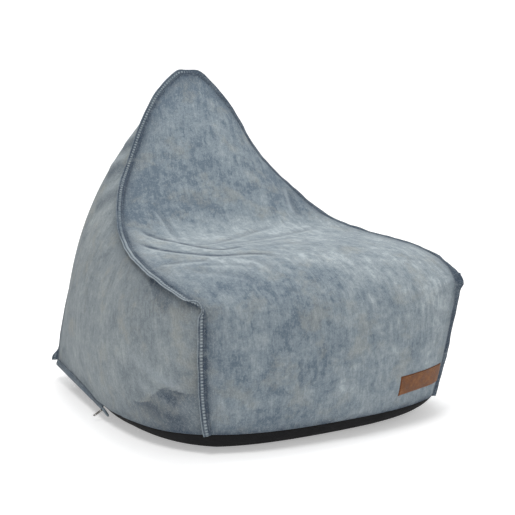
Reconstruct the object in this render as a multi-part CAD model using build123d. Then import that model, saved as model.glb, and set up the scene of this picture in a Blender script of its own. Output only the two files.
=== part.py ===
from build123d import *
import os
from math import comb

import numpy as np

# Lounge bean bag chair: a zipped denim cover with a black base, an inner liner and its bead fill.
# Millimetres. X is the width, -Y is the front, +Z is up, and the floor is Z = 0. The left and right
# halves mirror each other, apart from the cover's zip and the label.

# ---------------------------------------------------------------- driving dimensions
COVER_THICK = 1.5        # denim and base fabric
LINER_THICK = 0.8
SLACK = 1.0              # between cover and liner, and between liner and beads
ORDER = 10               # polynomial order of each fabric patch, both ways

PEAK_HALF = 25           # half width of the flat top of the backrest
SIDE_BULGE = 27          # how far a filled side panel stands out of its four seams
BACK_BULGE = 28.0        # the same for the back panel
BASE_TUCK = 0.86         # size of the floor contact against the base seam
BASE_KNEE = (0.955, 0.32)  # size and height, against the base seam, that the base bulges towards
LINER_TUCK = 20          # how far the liner's bottom rear edge stays clear of the cover, for its zip

FLANGE_WIDTH = 18        # turned-out seam allowances, sewn together
FLANGE_THICK = 3.0
FLANGE_ROOT = 1.2        # how far a flange reaches in between the two panels
FLANGE_TURN = 0.3        # share of a seam over which its flange turns over from the mitre at its end
REAR_LAY = (-0.45, 0.88, 0.1)  # the way that the right rear seam's flange lies
THREAD = 0.8
THREAD_ROWS = (5.0, 13.8)

LABEL_ACROSS = (0.738, 0.984)  # its ends, as shares of the apron's width
LABEL_DOWN = (0.688, 0.855)    # its top and bottom, as shares of the apron's height
LABEL_THICK = 1.6
LABEL_GAP = 0.2                # from the denim to its back
LABEL_MARGIN = 0.06            # of its height, from its edge to its stitching
STITCH_PITCH = 5.6
STITCH_LENGTH = 4.0

# Zips: a nylon coil on woven tape, and a metal slider.
TAPE_WIDTH = 11.0        # each half
TAPE_THICK = 0.7
HALF_GAP = 0.9           # half of the gap between the two coils, where the slider's post runs
COIL_WIDTH = 2.2
COIL_HEIGHT = 2.0
SLIDER_LENGTH = 13.0
SLIDER_WIDTH = 8.4
SLIDER_PLATE = 1.2
SLIDER_CLEAR = 0.5       # to the coils and tapes
POST_WIDTH = 1.0
STOP_LENGTH = 3.0
STOP_WALL = 0.6          # and the slider's lips
STOP_INSET = 6.0         # from the rear stop to the end of the tape
PLATE_CORNER = 1.8
BAIL_SPAN = 7.6
BAIL_WIDTH = 1.6
BAIL_HEIGHT = 2.8
BAIL_WALL = 0.95
HINGE_RISE = 1.0         # from the slider's top plate to the tab's hinge
CROSSBAR = 0.55          # radius
TAB_LENGTH = 24.0
TAB_WIDTH = 5.2
TAB_THICK = 1.2
TAB_REACH = 4.8          # from the tab's hinge to the solid part of the tab
TAB_CORNER = 2.2
TAB_HOLE = 1.3           # radius
TAB_HOLE_IN = 4.5        # from the tab's tip
ZIP_DROP = 15.0          # from the base seam down to the cover zip's middle line
ZIP_STAND = 5.8          # from the base seam's plane out to the cover zip's tape
ZIP_PARK = 21.0          # slider's middle at rest, from the front end of the zip
PLACKET_WIDTH = 15.0
PLACKET_THICK = 2.4
PLACKET_START = 8.0      # from the front end of the zip
PLACKET_LEAN = 34.0      # degrees, from the zip's normal towards the ground
GARAGE = (16.0, 25.0, 7.0)  # along the zip, across it and out of it
GARAGE_END = 5.0         # from the front end of the tapes to the garage's mouth
GARAGE_BACK = 1.6        # how far it reaches behind the tapes
LINER_ZIP_LENGTH = 320.0
LINER_ZIP_STAND = 3.2

# Right half of the front seam: from the peak, down the backrest, along the arm to the front corner.
FRONT_SEAM = [
    (PEAK_HALF, 300, 859),
    (88, 293, 805),
    (143, 276, 728),
    (195, 247, 634),
    (254, 186, 550),
    (309, 69, 466),
    (358, -91, 428),
    (390, -262, 401),
    (352, -436, 341),
]
# The same seam, from the front corner down to the base.
CORNER_SEAM = [(352, -436, 341), (346, -424, 250), (334, -407, 140), (316, -394, 50)]
# Right rear seam, from the bottom rear ear up to the peak.
REAR_SEAM = [
    (374, 390, 70),
    (342, 424, 180),
    (310, 428, 300),
    (262, 408, 460),
    (192, 378, 610),
    (110, 343, 738),
    (PEAK_HALF, 300, 859),
]
# Right side of the base seam. It is straight from 30 in front of the middle to the ear.
STRAIGHT_START = (413, -30, 44)
EAR = (374, 390, 70)
SIDE_BASE_SEAM = [
    (316, -394, 50),
    (384, -300, 46),
    (411, -165, 43),
    STRAIGHT_START,
    (400, 110, 52.7),
    (387, 250, 61.3),
    EAR,
]
# Middle of the seat panel, from the peak to the front edge, and on down the apron.
SEAT_MIDDLE = [
    (0, 300, 859),
    (0, 264, 794),
    (0, 222, 720),
    (0, 172, 630),
    (0, 112, 540),
    (0, 35, 462),
    (0, -80, 440),
    (0, -230, 438),
    (0, -370, 414),
    (0, -462, 344),
]
APRON_MIDDLE = [(0, -462, 344), (0, -486, 260), (0, -482, 160), (0, -444, 46)]
BACK_BASE_MIDDLE = (0, 432, 52)
BACK_BASE_BESIDE = (200, -8, 4)  # from the middle to the next point of the rear base seam


# ---------------------------------------------------------------- curves and patches
LEFT = np.array([-1, 1, 1])


def curve(points):
    """A smooth curve through the points, as a function of 0 to 1."""
    knots = [tuple(map(float, p)) for p in points]
    path = Spline(*knots) if len(knots) > 2 else Line(*knots)
    return lambda s: np.array(tuple(path @ float(min(max(s, 0), 1))))


def mirrored(function):
    """The same curve or patch on the other side of X = 0."""
    return lambda *st: function(*st) * LEFT


def crown(u):
    """0 on the middle line of a filled panel and 1 on its seams, steepest at the seams."""
    return 0.45 * u**2 + 0.55 * u**4


def swelling(s, t):
    """0 on all four edges of a filled panel and 1 in its middle."""
    return (1 - (2 * s - 1) ** 4) * (1 - (2 * t - 1) ** 4)


def crowned(middle, seam):
    """A panel symmetric about X = 0: s runs across it from -X to +X, and t along its middle line."""

    def point(s, t):
        u = 2 * s - 1
        inner, outer = middle(t), seam(t)
        return np.array([outer[0] * u, *(inner[1:] + (outer[1:] - inner[1:]) * crown(u))])

    return point


def coons(low, high, left, right, bulge):
    """A panel between four curves: low and high run along s, left and right along t."""

    def point(s, t):
        along = (1 - t) * low(s) + t * high(s)
        across = (1 - s) * left(t) + s * right(t)
        corners = (1 - s) * ((1 - t) * low(0) + t * high(0)) + s * ((1 - t) * low(1) + t * high(1))
        return along + across - corners + np.array(bulge) * swelling(s, t)

    return point


def tucked(ring):
    """The base fabric between a stretch of the base seam, at t = 0, and the floor, at t = 1."""

    def point(s, t):
        top = ring(s)
        floor = top * np.array([BASE_TUCK, BASE_TUCK, 0])
        knee = top * np.array([BASE_KNEE[0], BASE_KNEE[0], BASE_KNEE[1]])
        return (1 - t) ** 2 * top + 2 * t * (1 - t) * knee + t**2 * floor

    return point


LINER_OUT = np.array([0, 0.8, -0.6])  # out of the liner's bottom rear edge


def chair(rear_tuck):
    """Every patch of the closed outer surface. rear_tuck pulls its bottom rear edge inwards."""
    front, corner, rear, side_base = map(curve, (FRONT_SEAM, CORNER_SEAM, REAR_SEAM, SIDE_BASE_SEAM))
    middle = np.array(BACK_BASE_MIDDLE) - rear_tuck * LINER_OUT
    beside = middle + np.array(BACK_BASE_BESIDE)
    back_base = curve([EAR * LEFT, beside * LEFT, middle, beside, EAR])
    top = curve([FRONT_SEAM[0] * LEFT, FRONT_SEAM[0]])
    apron = crowned(curve(APRON_MIDDLE), corner)
    side = coons(side_base, lambda s: front(1 - s), lambda t: corner(1 - t), rear, (SIDE_BULGE, 0, 0))
    return {
        "seat": crowned(curve(SEAT_MIDDLE), front),
        "apron": apron,
        "right": side,
        "left": mirrored(side),
        "back": coons(back_base, top, mirrored(rear), rear, (0, BACK_BULGE, 0)),
        "base_front": tucked(lambda s: apron(s, 1)),
        "base_right": tucked(side_base),
        "base_left": tucked(mirrored(side_base)),
        "base_rear": tucked(back_base),
    }


# ---------------------------------------------------------------- patches as exact faces
# A patch is sampled at ORDER + 1 nodes each way and becomes the one polynomial face through them, so
# patches that share an edge share its nodes, and their faces meet exactly.
NODES = (1 - np.cos(np.pi * np.arange(ORDER + 1) / ORDER)) / 2


def bernstein(order, nodes):
    powers = range(order + 1)
    return np.array([[comb(order, k) * t**k * (1 - t) ** (order - k) for k in powers] for t in nodes])


TO_POLES = np.linalg.inv(bernstein(ORDER, NODES))


def face(grid):
    """The polynomial face through a grid of points, which may be two rows only."""
    poles = np.einsum("jb,ibx->ijx", TO_POLES, grid)
    if len(grid) > 2:
        poles = np.einsum("ia,ajx->ijx", TO_POLES, poles)
    return Face.make_bezier_surface([[tuple(p) for p in row] for row in poles])


def edge_line(points):
    """The polynomial edge through one row of nodes."""
    return Edge.make_bezier(*[tuple(p) for p in TO_POLES @ points])


def key(point):
    return tuple(np.round(point, 4) + 0.0)


class Surface:
    """The closed surface of the chair, sampled at the nodes, with the normals that meet at each."""

    def __init__(self, rear_tuck=0.0):
        self.points, normals, meeting = {}, {}, {}
        for name, patch in chair(rear_tuck).items():
            self.points[name] = np.array([[patch(s, t) for t in NODES] for s in NODES])
            normals[name] = self.normals_of(patch)
        for name, grid in self.points.items():
            for point, normal in zip(grid.reshape(-1, 3), normals[name].reshape(-1, 3)):
                meeting.setdefault(key(point), []).append(normal)
        self.outward = {at: self.mitre(around, at[2] == 0) for at, around in meeting.items()}

    @staticmethod
    def normals_of(patch, step=1e-3):
        """Unit normals at the nodes, pointing out of the chair."""

        def normal(s, t):
            s0, s1, t0, t1 = max(s - step, 0), min(s + step, 1), max(t - step, 0), min(t + step, 1)
            across = np.cross(patch(s1, t) - patch(s0, t), patch(s, t1) - patch(s, t0))
            return across / np.linalg.norm(across)

        grid = np.array([[normal(s, t) for t in NODES] for s in NODES])
        middle = patch(0.5, 0.5) - np.array([0, 60, 250])
        return grid if grid[ORDER // 2, ORDER // 2] @ middle > 0 else -grid

    @staticmethod
    def mitre(normals, on_floor):
        """The move that takes a point out by 1 mm from every face that meets there."""
        move = np.linalg.pinv(np.array(normals), rcond=0.12) @ np.ones(len(normals))
        return np.array([*move[:2], -1]) if on_floor else move

    def inset(self, name, depth):
        """A patch's nodes, moved into the chair by a depth."""
        return np.array([[p - depth * self.outward[key(p)] for p in row] for row in self.points[name]])

    def floor_loop(self, depth):
        sides = ("base_front", "base_right", "base_rear", "base_left")
        return [edge_line(self.inset(side, depth)[:, -1]) for side in sides]

    def sheet(self, names, outer, inner):
        """A closed solid of the named patches, between two depths. The base includes its flat floor."""
        faces, rims = [], {}
        for name in names:
            out, inn = self.inset(name, outer), self.inset(name, inner)
            faces += [face(out), face(inn)]
            for pick in (np.s_[0, :], np.s_[-1, :], np.s_[:, 0], np.s_[:, -1]):
                ends = frozenset((key(out[pick][0]), key(out[pick][-1]), key(out[pick][ORDER // 2])))
                rims[ends] = None if ends in rims else np.array([out[pick], inn[pick]])
        if "base_front" in names:
            faces += [Face(Wire(self.floor_loop(depth))) for depth in (outer, inner)]
            rims = {ends: rim for ends, rim in rims.items() if max(at[2] for at in ends) > 1}
        faces += [face(rim) for rim in rims.values() if rim is not None]
        return Solid(Shell(faces))

    def filled(self, depth):
        """The closed solid inside a depth."""
        faces = [face(self.inset(name, depth)) for name in self.points]
        return Solid(Shell(faces + [Face(Wire(self.floor_loop(depth)))]))


# ---------------------------------------------------------------- seams
def strip(points, outward, start, stop, thickness):
    """A straight-sided strip that stands out of a seam, from start to stop above its line."""
    tangent = np.gradient(points, NODES, axis=0)
    outward = outward / np.linalg.norm(outward, axis=1)[:, None]
    sideways = np.cross(tangent, outward)
    sideways *= thickness / 2 / np.linalg.norm(sideways, axis=1)[:, None]
    section = ((start, -1), (stop, -1), (stop, 1), (start, 1))
    corners = [points + h * outward + w * sideways for h, w in section]
    faces = [face(np.array([corners[i], corners[(i + 1) % 4]])) for i in range(4)]
    for end in (0, -1):
        faces.append(Face(Wire.make_polygon([tuple(c[end]) for c in corners], close=True)))
    return Solid(Shell(faces))


def seam(surface, patch, pick):
    """The nodes along one edge of a patch, and the directions that stand out of it."""
    points = surface.points[patch][pick]
    return points, np.array([surface.outward[key(p)] for p in points])


def laid(line, towards, ends):
    """A seam whose flange is laid over towards a direction, apart from its ends where they are kept."""
    points, outward = line
    tangent = np.gradient(points, NODES, axis=0)
    tangent /= np.linalg.norm(tangent, axis=1)[:, None]
    over = towards - (towards * tangent).sum(1)[:, None] * tangent
    over /= np.linalg.norm(over, axis=1)[:, None]
    outward = outward / np.linalg.norm(outward, axis=1)[:, None]
    share = np.ones(len(NODES))
    for kept, from_end in zip(ends, (NODES, 1 - NODES)):
        if kept:
            share = share * np.sin(np.minimum(from_end / FLANGE_TURN, 1) * np.pi / 2) ** 2
    return points, share[:, None] * over + (1 - share)[:, None] * outward


def panel_edge(patch, row):
    """A side edge of the seat or apron, with its flange laid in that panel's own plane."""
    grid = cover.points[patch]
    line = seam(cover, patch, np.s_[row, :])
    return laid(line, grid[row] - grid[ORDER // 2], (patch == "seat", False))


def rear_edge(row, side):
    """A side edge of the back, with its flange laid in towards the back."""
    line = seam(cover, "back", np.s_[row, :])
    return laid(line, np.tile(REAR_LAY, (len(NODES), 1)) * side, (True, True))


def flange(line):
    return strip(*line, -FLANGE_ROOT, FLANGE_WIDTH, FLANGE_THICK)


def threads(line):
    return [strip(*line, row, row + THREAD, FLANGE_THICK + THREAD) for row in THREAD_ROWS]


# ---------------------------------------------------------------- label
def on_apron(across, down, height):
    """A point above the apron, from shares of the label's width and height, and the normal there."""
    corner = curve(CORNER_SEAM)
    apron = crowned(curve(APRON_MIDDLE), corner)
    t = LABEL_DOWN[0] + down * (LABEL_DOWN[1] - LABEL_DOWN[0])
    s = LABEL_ACROSS[0] + across * (LABEL_ACROSS[1] - LABEL_ACROSS[0])
    s = 0.5 + (s - 0.5) * corner(sum(LABEL_DOWN) / 2)[0] / corner(t)[0]  # keeps its ends upright
    step = 1e-3
    normal = np.cross(apron(s + step, t) - apron(s - step, t), apron(s, t - step) - apron(s, t + step))
    normal /= np.linalg.norm(normal)
    return apron(s, t) + height * normal, normal


def leather_label():
    grids = []
    for height in (LABEL_GAP, LABEL_GAP + LABEL_THICK):
        grids.append(np.array([[on_apron(a, d, height)[0] for d in NODES] for a in NODES]))
    faces = [face(grid) for grid in grids]
    for pick in (np.s_[0, :], np.s_[-1, :], np.s_[:, 0], np.s_[:, -1]):
        faces.append(face(np.array([grid[pick] for grid in grids])))
    return Solid(Shell(faces))


def label_stitching():
    """Short thread stitches, sewn through the label all round its edge."""
    near, far = LABEL_MARGIN, 1 - LABEL_MARGIN
    left, right = 0.4 * near, 1 - 0.4 * near
    corners = [(left, near), (right, near), (right, far), (left, far), (left, near)]
    stitches = []
    for (a0, d0), (a1, d1) in zip(corners, corners[1:]):
        start, end = on_apron(a0, d0, 0)[0], on_apron(a1, d1, 0)[0]
        count = round(np.linalg.norm(end - start) / STITCH_PITCH)
        for k in range(count):
            share = (k + 0.5) / count
            at, normal = on_apron(a0 + share * (a1 - a0), d0 + share * (d1 - d0), LABEL_THICK + LABEL_GAP)
            place = Plane(origin=tuple(at), x_dir=tuple(end - start), z_dir=tuple(normal))
            stitches.append(place * Box(STITCH_LENGTH, THREAD, THREAD))
    return Compound(stitches)


# ---------------------------------------------------------------- zips
# Each zip is drawn on its own plane: X runs along it, Y across it, Z out of the fabric. The tape's
# back face is at Z = 0, and the coils meet at Y = 0.
def block(x0, x1, y0, y1, z0, z1):
    return Pos((x0 + x1) / 2, (y0 + y1) / 2, (z0 + z1) / 2) * Box(x1 - x0, y1 - y0, z1 - z0)


COIL_OUT = HALF_GAP + COIL_WIDTH
COIL_TOP = TAPE_THICK + COIL_HEIGHT
PLATE_TOP = COIL_TOP + SLIDER_CLEAR + SLIDER_PLATE
HINGE_UP = PLATE_TOP + HINGE_RISE


def tape(length, side):
    return block(0, length, *sorted((side * HALF_GAP, side * (HALF_GAP + TAPE_WIDTH))), 0, TAPE_THICK)


def coil(length, side):
    bar = block(0, length, *sorted((side * HALF_GAP, side * COIL_OUT)), TAPE_THICK, COIL_TOP)
    return fillet(bar.edges().filter_by(Axis.X).group_by(Axis.Z)[-1], 0.6)


def stop(x):
    """A pressed metal stop that clamps the ends of both coils."""
    wide, high = COIL_OUT + STOP_WALL, COIL_TOP + STOP_WALL
    shell = block(x, x + STOP_LENGTH, -wide, wide, TAPE_THICK, high)
    return shell - block(x, x + STOP_LENGTH, -COIL_OUT, COIL_OUT, TAPE_THICK, COIL_TOP)


def slider(x, with_bail):
    """Two plates round the coils, joined by lips at their edges and a post between the coils."""
    half, long = SLIDER_WIDTH / 2, SLIDER_LENGTH / 2
    inside = PLATE_TOP - SLIDER_PLATE / 2
    under = block(x - long, x + long, -half, half, -SLIDER_CLEAR - SLIDER_PLATE, -SLIDER_CLEAR)
    over = block(x - long, x + long, -half, half, PLATE_TOP - SLIDER_PLATE, PLATE_TOP)
    body = fillet(under.edges().filter_by(Axis.Z), PLATE_CORNER)
    body += fillet(over.edges().filter_by(Axis.Z), PLATE_CORNER)
    for side in (-1, 1):
        edges = sorted((side * half, side * (half - STOP_WALL)))
        body += block(x - long + 2, x + long - 2, *edges, TAPE_THICK + SLIDER_CLEAR, inside)
    post = (x - long + 0.6, x - long + 3.6, -POST_WIDTH / 2, POST_WIDTH / 2)
    body += block(*post, -SLIDER_CLEAR - SLIDER_PLATE / 2, inside)
    if with_bail:
        span, wide, top = BAIL_SPAN / 2, BAIL_WIDTH / 2, PLATE_TOP + BAIL_HEIGHT
        arch = block(x - span, x + span, -wide, wide, inside, top)
        arch = fillet(arch.edges().filter_by(Axis.Y).group_by(Axis.Z)[-1], BAIL_WALL)
        legs = span - BAIL_WALL
        body += arch - block(x - legs, x + legs, -BAIL_WIDTH, BAIL_WIDTH, PLATE_TOP, top - BAIL_WALL)
    return body


def pull_tab(x):
    """A flat metal tab, whose crossbar passes under the slider's bail."""
    half, tip = TAB_WIDTH / 2, HINGE_UP + TAB_LENGTH
    tab = Pos(x, 0, HINGE_UP) * Rot(90, 0, 0) * Cylinder(CROSSBAR, TAB_WIDTH)
    for side in (-1, 1):
        edges = sorted((side * half, side * (half - TAB_THICK)))
        tab += block(x - CROSSBAR, x + CROSSBAR, *edges, HINGE_UP, HINGE_UP + TAB_REACH + 1)
    plate = block(x - TAB_THICK / 2, x + TAB_THICK / 2, -half, half, HINGE_UP + TAB_REACH, tip)
    plate = fillet(plate.edges().filter_by(Axis.X).group_by(Axis.Z)[-1], TAB_CORNER)
    hole = Pos(x, 0, tip - TAB_HOLE_IN) * Rot(0, 90, 0) * Cylinder(TAB_HOLE, 3 * TAB_THICK)
    return tab + (plate - hole)


def zip_parts(prefix, upper, lower, plane, length, park, with_bail):
    """The pieces of one closed zip. upper and lower name the fabric that each tape is sewn to."""
    parts = {
        f"{prefix}_{upper}_tape": tape(length, -1),
        f"{prefix}_{lower}_tape": tape(length, 1),
        f"{prefix}_{upper}_coil": coil(length, -1),
        f"{prefix}_{lower}_coil": coil(length, 1),
        f"{prefix}_front_stop": stop(park - SLIDER_LENGTH / 2 - 1 - STOP_LENGTH),
        f"{prefix}_rear_stop": stop(length - STOP_INSET - STOP_LENGTH),
        f"{prefix}_slider": slider(park, with_bail),
    }
    if with_bail:
        parts[f"{prefix}_pull_tab"] = pull_tab(park)
    return {name: plane * part for name, part in parts.items()}


def cover_zip_plane():
    """The plane of the cover's zip, under the straight stretch of the left base seam."""
    start, end = np.array(STRAIGHT_START) * LEFT, np.array(EAR) * LEFT
    along = (end - start) / np.linalg.norm(end - start)
    down = (start + end) / 2 * np.array([0.95, 0.95, 0.4]) - (start + end) / 2
    out = np.cross(along, down - (down @ along) * along)
    out /= np.linalg.norm(out)
    down = np.cross(out, along)
    start = start + ZIP_DROP * down + ZIP_STAND * out
    return Plane(origin=tuple(start), x_dir=tuple(along), z_dir=tuple(out))


def cover_zip_length():
    return float(np.linalg.norm(np.array(EAR) - np.array(STRAIGHT_START)))


def placket(plane, length):
    """The flap of denim that hangs from the base seam, over the zip."""
    flap = block(PLACKET_START, length, -PLACKET_THICK / 2, PLACKET_THICK / 2, 0, PLACKET_WIDTH)
    return plane * (Pos(0, -ZIP_DROP, -ZIP_STAND) * Rot(-PLACKET_LEAN, 0, 0) * flap)


def garage(plane):
    """The sewn fold that holds the front ends of the tapes."""
    long, wide, high = GARAGE
    fold = block(GARAGE_END - long, GARAGE_END, -wide / 2, wide / 2, -GARAGE_BACK, high - GARAGE_BACK)
    fold = fillet(fold.edges().filter_by(Axis.X), COVER_THICK)
    inside = wide / 2 - 0.4
    return plane * (fold - block(0, GARAGE_END + 1, -inside, inside, -0.2, COIL_TOP + 0.3))


# ---------------------------------------------------------------- assembly
cover = Surface()
bag = Surface(LINER_TUCK)
LINER_DEPTH = COVER_THICK + SLACK
FILL_DEPTH = LINER_DEPTH + LINER_THICK + SLACK

right_seam, left_seam = (panel_edge("seat", i) for i in (-1, 0))
right_corner, left_corner = (panel_edge("apron", i) for i in (-1, 0))
right_rear, left_rear = rear_edge(-1, np.ones(3)), rear_edge(0, LEFT)

parts = {
    "seat_panel": cover.sheet(["seat", "apron"], 0, COVER_THICK),
    "left_side_panel": cover.sheet(["left"], 0, COVER_THICK),
    "right_side_panel": cover.sheet(["right"], 0, COVER_THICK),
    "back_panel": cover.sheet(["back"], 0, COVER_THICK),
    "base_panel": cover.sheet(["base_front", "base_right", "base_left", "base_rear"], 0, COVER_THICK),
    "left_front_seam": flange(left_seam),
    "right_front_seam": flange(right_seam),
    "left_corner_seam": flange(left_corner),
    "right_corner_seam": flange(right_corner),
    "left_rear_seam": flange(left_rear),
    "right_rear_seam": flange(right_rear),
    "top_seam": flange(seam(cover, "back", np.s_[:, -1])),
    "left_topstitching": Compound(threads(left_seam) + threads(left_corner)),
    "right_topstitching": Compound(threads(right_seam) + threads(right_corner)),
    "leather_label": leather_label(),
    "label_stitching": label_stitching(),
    "inner_liner": bag.filled(LINER_DEPTH) - bag.filled(LINER_DEPTH + LINER_THICK),
    "bead_fill": bag.filled(FILL_DEPTH),
}

zip_plane, zip_length = cover_zip_plane(), cover_zip_length()
parts |= zip_parts("zip", "upper", "lower", zip_plane, zip_length, ZIP_PARK, True)
parts["zip_placket"] = placket(zip_plane, zip_length)
parts["zip_garage"] = garage(zip_plane)

liner_start = np.array(BACK_BASE_MIDDLE) + (LINER_ZIP_STAND - LINER_DEPTH - LINER_TUCK) * LINER_OUT
liner_start -= np.array([LINER_ZIP_LENGTH / 2, 0, 0])
liner_plane = Plane(origin=tuple(liner_start), x_dir=(1, 0, 0), z_dir=tuple(LINER_OUT))
parts |= zip_parts("liner_zip", "upper", "lower", liner_plane, LINER_ZIP_LENGTH, ZIP_PARK, False)

os.makedirs("parts", exist_ok=True)
for name, part in parts.items():
    export_step(part, f"parts/{name}.step")

travel = zip_length - STOP_INSET - STOP_LENGTH - 1 - SLIDER_LENGTH / 2 - ZIP_PARK
liner_travel = LINER_ZIP_LENGTH - STOP_INSET - STOP_LENGTH - 1 - SLIDER_LENGTH / 2 - ZIP_PARK
hinge = zip_plane.origin + zip_plane.x_dir * ZIP_PARK + zip_plane.z_dir * HINGE_UP
print("zip axis", zip_plane.x_dir, "travel", travel, "liner travel", liner_travel)
print("tab hinge", hinge, "axis", zip_plane.y_dir)
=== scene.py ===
import itertools
import math

import bpy
import numpy as np
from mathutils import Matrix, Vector


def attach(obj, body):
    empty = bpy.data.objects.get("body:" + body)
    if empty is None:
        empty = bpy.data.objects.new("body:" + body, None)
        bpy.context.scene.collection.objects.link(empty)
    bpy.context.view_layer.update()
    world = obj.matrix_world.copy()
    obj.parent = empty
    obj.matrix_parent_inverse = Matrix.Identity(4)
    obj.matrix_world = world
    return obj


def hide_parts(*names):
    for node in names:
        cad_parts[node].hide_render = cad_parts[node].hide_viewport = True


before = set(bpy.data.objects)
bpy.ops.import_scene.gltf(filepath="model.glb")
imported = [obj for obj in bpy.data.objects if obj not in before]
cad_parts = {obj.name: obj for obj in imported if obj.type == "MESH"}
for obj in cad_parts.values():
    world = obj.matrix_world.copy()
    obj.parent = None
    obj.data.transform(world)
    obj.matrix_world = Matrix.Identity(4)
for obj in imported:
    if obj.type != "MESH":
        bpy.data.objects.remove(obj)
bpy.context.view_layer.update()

# Lounge bean bag chair. Metres; X is the width, -Y is the front, +Z is up.
MM = 0.001
LEFT, RIGHT = np.array([-1.0, 1.0, 1.0]), np.ones(3)  # the seams are given for the right half
TILT = np.array([[0.8, 0.6, 0.0], [-0.48, 0.64, 0.6], [0.36, -0.48, 0.8]])

# ---- driving dimensions, in millimetres
DENIM = 1.5
FLANGE_WIDTH = 18.0
FLANGE_HALF = 1.5  # half a flange's thickness
ROWS = (4.0, 14.2)  # distances of the two rows of topstitching from the seam
FLANGE_TURN, EAR_TURN = 0.3, 0.05  # shares of a rear seam over which its flange turns, at peak and ear
REAR_LAY = (-0.45, 0.88, 0.1)  # the way that the right rear seam's flange lies
SIDE_BULGE = 27.0
BACK_BULGE = 28.0
BASE_TUCK = 0.86  # the floor patch's share of the base seam's outline
BASE_KNEE = (0.955, 0.32)  # shares of that outline and of its height at the base's bend
PEAK_HALF = 25.0

FRONT_SEAM = [
    (PEAK_HALF, 300, 859), (88, 293, 805), (143, 276, 728), (195, 247, 634), (254, 186, 550),
    (309, 69, 466), (358, -91, 428), (390, -262, 401), (352, -436, 341),
]
CORNER_SEAM = [(352, -436, 341), (346, -424, 250), (334, -407, 140), (316, -394, 50)]
REAR_SEAM = [
    (374, 390, 70), (342, 424, 180), (310, 428, 300), (262, 408, 460), (192, 378, 610),
    (110, 343, 738), (PEAK_HALF, 300, 859),
]
STRAIGHT_START = (413, -30, 44)
EAR = (374, 390, 70)
SIDE_BASE_SEAM = [
    (316, -394, 50), (384, -300, 46), (411, -165, 43), STRAIGHT_START, (400, 110, 52.7),
    (387, 250, 61.3), EAR,
]
SEAT_MIDDLE = [
    (0, 300, 859), (0, 264, 794), (0, 222, 720), (0, 172, 630), (0, 112, 540), (0, 35, 462),
    (0, -80, 440), (0, -230, 438), (0, -370, 414), (0, -462, 344),
]
APRON_MIDDLE = [(0, -462, 344), (0, -486, 260), (0, -482, 160), (0, -444, 46)]
BACK_BASE = [(-374, 390, 70), (-200, 424, 56), (0, 432, 52), (200, 424, 56), (374, 390, 70)]


# ---- curves
def unit(vectors):
    """The same directions with a length of one."""
    return vectors / np.linalg.norm(vectors, axis=-1, keepdims=True)


def lengths_along(line):
    """How far each point of a polyline is from its start."""
    return np.concatenate([[0], np.cumsum(np.linalg.norm(np.diff(line, axis=0), axis=1))])


def bend_rates(t, y):
    """Second derivatives at the knots of the cubic spline whose end slopes follow its first points."""
    n, h = len(t), np.diff(t)
    reach = min(n, 4)
    first = np.polyfit(t[:reach] - t[0], y[:reach], reach - 1)[-2]
    last = np.polyfit(t[-reach:] - t[-1], y[-reach:], reach - 1)[-2]
    rises = np.diff(y, axis=0) / h[:, None]
    a, b = np.zeros((n, n)), np.zeros((n, 3))
    a[0, :2], b[0] = (2 * h[0], h[0]), 6 * (rises[0] - first)
    a[-1, -2:], b[-1] = (h[-1], 2 * h[-1]), 6 * (last - rises[-1])
    for i in range(1, n - 1):
        a[i, i - 1 : i + 2] = h[i - 1], 2 * (h[i - 1] + h[i]), h[i]
        b[i] = 6 * (rises[i] - rises[i - 1])
    return np.linalg.solve(a, b)


def curve(points, samples=1500):
    """A smooth curve through points in millimetres, as a function of its share of length."""
    y = np.array(points, float) * MM
    t = lengths_along(y)
    at = np.linspace(0, t[-1], samples)
    if len(y) > 2:
        m, i = bend_rates(t, y), np.clip(np.searchsorted(t, at, "right") - 1, 0, len(t) - 2)
        h = (t[i + 1] - t[i])[:, None]
        a, b = ((t[i + 1] - at)[:, None] / h, (at - t[i])[:, None] / h)
        line = a * y[i] + b * y[i + 1] + ((a**3 - a) * m[i] + (b**3 - b) * m[i + 1]) * h**2 / 6
    else:
        line = y[0] + (y[1] - y[0]) * (at / t[-1])[:, None]
    share = lengths_along(line)
    share /= share[-1]
    return lambda s: np.stack([np.interp(s, share, line[:, k]) for k in range(3)], axis=-1)


def smooth(x, low, high):
    """Rises gently from 0 at low to 1 at high."""
    x = np.clip((x - low) / (high - low), 0, 1)
    return x * x * (3 - 2 * x)


# ---- seeded noise
NOISE_CELLS = 32
NOISE_START = 64.37  # keeps the chair's middle plane off the cells' corners


def noise(points, pitch, seed):
    """Smooth noise from -1 to 1 over space."""
    table = np.random.default_rng(seed).uniform(-1, 1, (NOISE_CELLS,) * 3)
    at = points / pitch + NOISE_START
    cell = np.floor(at).astype(int)
    f = at - cell
    f = f * f * f * (f * (6 * f - 15) + 10)
    total = 0
    for step in itertools.product((0, 1), repeat=3):
        share = np.where(step, f, 1 - f).prod(-1)
        total = total + share * table[tuple(np.moveaxis((cell + step) % NOISE_CELLS, -1, 0))]
    return total


def ripple(x, pitch, seed):
    """Smooth noise along a line, from about -1 to 1."""
    return noise(np.stack([x, 0 * x, 0 * x + 0.31 * pitch], axis=-1), pitch, seed) * 1.6


# ---- the panels' own shapes
front, corner, rear, side_base = map(curve, (FRONT_SEAM, CORNER_SEAM, REAR_SEAM, SIDE_BASE_SEAM))
seat_middle, apron_middle, back_base = map(curve, (SEAT_MIDDLE, APRON_MIDDLE, BACK_BASE))
top_edge = curve([(-PEAK_HALF, 300, 859), (PEAK_HALF, 300, 859)])


def crowned(middle, seam, s, t):
    """A panel that is symmetrical about its middle line and falls away towards its seams."""
    u = 2 * s - 1
    inner, outer = middle(t), seam(t)
    crown = (0.45 * u**2 + 0.55 * u**4)[..., None]
    point = inner + (outer - inner) * crown
    point[..., 0] = outer[..., 0] * u
    return point


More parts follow.
